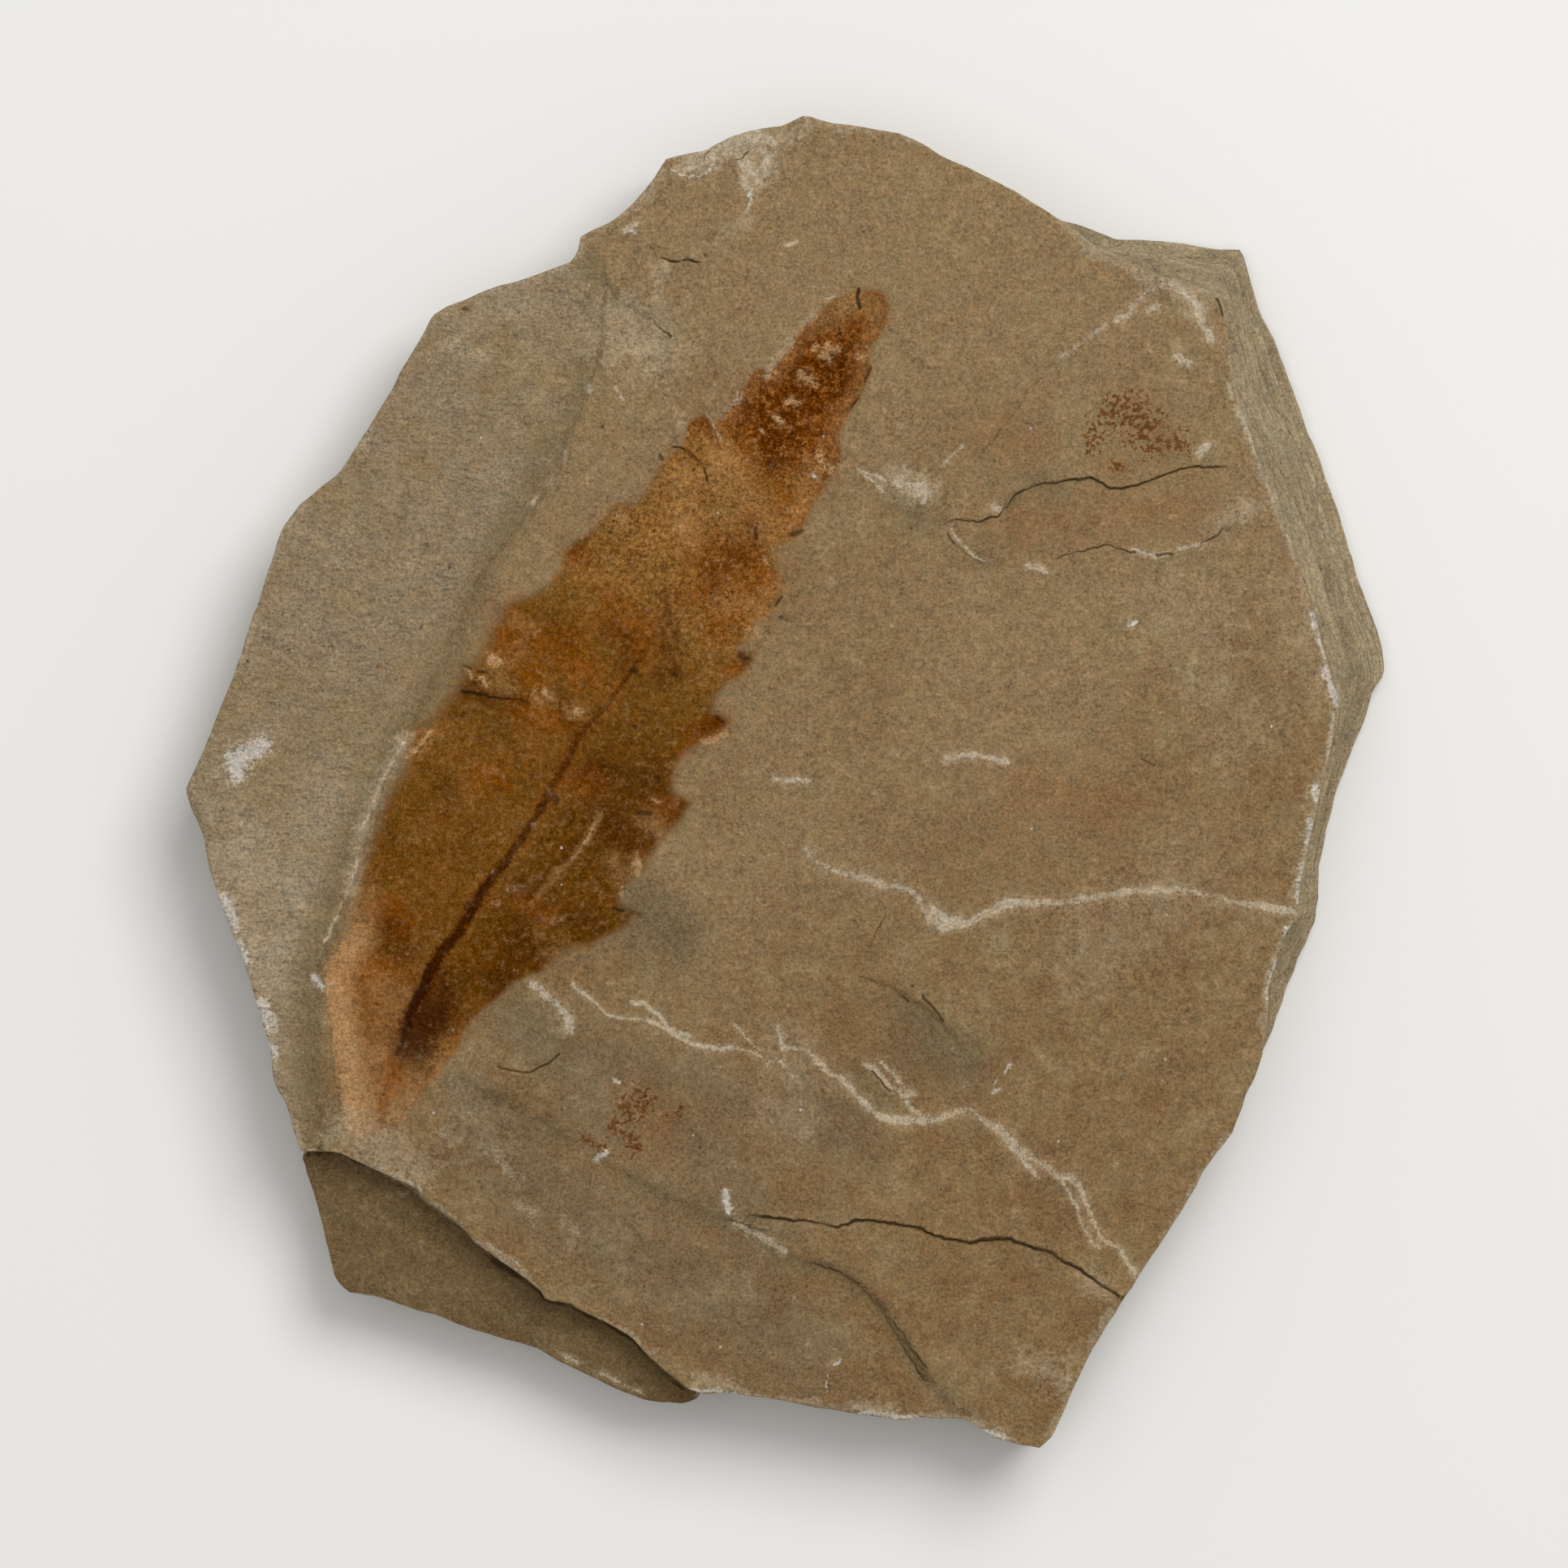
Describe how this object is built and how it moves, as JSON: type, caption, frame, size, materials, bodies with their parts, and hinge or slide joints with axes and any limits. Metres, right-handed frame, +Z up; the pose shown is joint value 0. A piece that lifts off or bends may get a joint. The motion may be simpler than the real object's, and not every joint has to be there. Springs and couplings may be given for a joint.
{
  "type": "fossil leaf plate",
  "caption": "Flat broken slab of thinly bedded shale, lying on its back, with a toothed fossil leaf on its upper face and a stepped ledge at one corner.",
  "frame": {"origin": "middle of the plate's box at its flat underside", "axes": "+Z up out of the face that carries the leaf; +Y along the plate's longer way, towards the leaf's tip end; +X to the right when the plate is seen from above"},
  "size_m": [0.0922, 0.1018, 0.0123],
  "materials": {
    "shale": "matt, fine-grained, tan shale with a red-brown leaf stain and pale chipped edges"
  },
  "bodies": {
    "root": {"shale_plate": "shale"}
  },
  "joints": []
}
